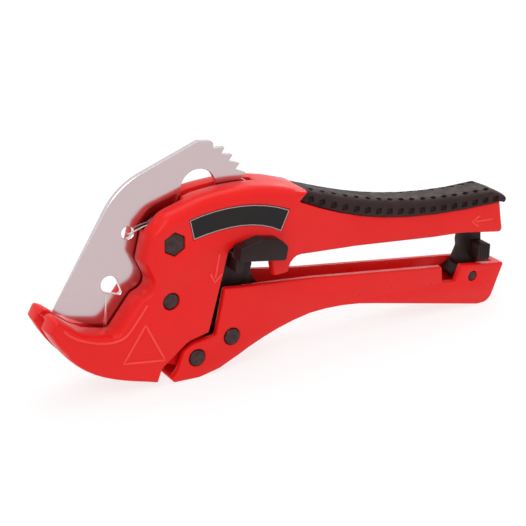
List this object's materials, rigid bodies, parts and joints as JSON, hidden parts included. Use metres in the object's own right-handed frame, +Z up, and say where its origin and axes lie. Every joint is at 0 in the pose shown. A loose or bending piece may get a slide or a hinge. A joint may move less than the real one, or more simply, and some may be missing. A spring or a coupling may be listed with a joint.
{
  "type": "pipe cutter",
  "caption": "Hand-held ratchet cutter for plastic pipe: hook jaw, swinging toothed blade, spring-loaded release lever, rubber-gripped upper handle and latched lower handle.",
  "frame": {"origin": "centre of the bottom of the closed tool's bounding box", "axes": "+X from the hook jaw to the handle ends, +Y through the thickness away from the release lever, +Z up from the lower handle to the upper handle"},
  "size_m": [0.2082, 0.0314, 0.091],
  "materials": {
    "red_paint": "satin-gloss red powder paint on cast aluminium",
    "black_rubber": "matt moulded rubber",
    "label": "plain black label film",
    "satin_blade_steel": "fine-ground stainless steel",
    "bright_steel": "plain bright steel",
    "dark_steel": "black oxide steel",
    "black_plastic": "matt moulded plastic"
  },
  "bodies": {
    "frame": {"body_casting": "red_paint", "handle_grip": "black_rubber", "label_plate": "label", "pivot_bush": "bright_steel", "pivot_bolt": "dark_steel", "pivot_washer": "bright_steel", "pivot_nut": "dark_steel", "stop_pin": "dark_steel", "handle_pivot_bush": "bright_steel", "latch_keeper_pin": "bright_steel"},
    "blade": {"blade": "satin_blade_steel", "blade_return_spring": "bright_steel"},
    "lower_handle": {"lower_handle": "red_paint", "handle_pivot_pin": "dark_steel", "pawl_pin": "dark_steel", "handle_pin_ring": "bright_steel", "pawl_pin_ring": "bright_steel", "handle_opening_spring": "bright_steel", "latch_pin": "dark_steel"},
    "pawl": {"ratchet_pawl": "dark_steel", "release_lever": "black_plastic", "pawl_spring": "bright_steel"},
    "latch": {"latch": "black_plastic"}
  },
  "joints": [
    {"name": "blade_swing", "type": "hinge", "parent": "frame", "child": "blade", "pos_m": [-0.05318, 0.0025, 0.0566], "axis": [0, 1, 0], "range_deg": [0, 60]},
    {"name": "handle_open", "type": "hinge", "parent": "frame", "child": "lower_handle", "pos_m": [-0.04478, 0.0025, 0.0087], "axis": [0, 1, 0], "range_deg": [0, 16]},
    {"name": "release_press", "type": "hinge", "parent": "lower_handle", "child": "pawl", "pos_m": [-0.02958, 0.0025, 0.0142], "axis": [0, 1, 0], "range_deg": [0, 5], "stiffness_Nm_per_rad": 0.4, "springref_deg": -6.88},
    {"name": "latch_release", "type": "hinge", "parent": "lower_handle", "child": "latch", "pos_m": [0.08802, 0.0025, 0.0137], "axis": [0, 1, 0], "range_deg": [-15, 0], "stiffness_Nm_per_rad": 0.2, "springref_deg": 6.88}
  ]
}
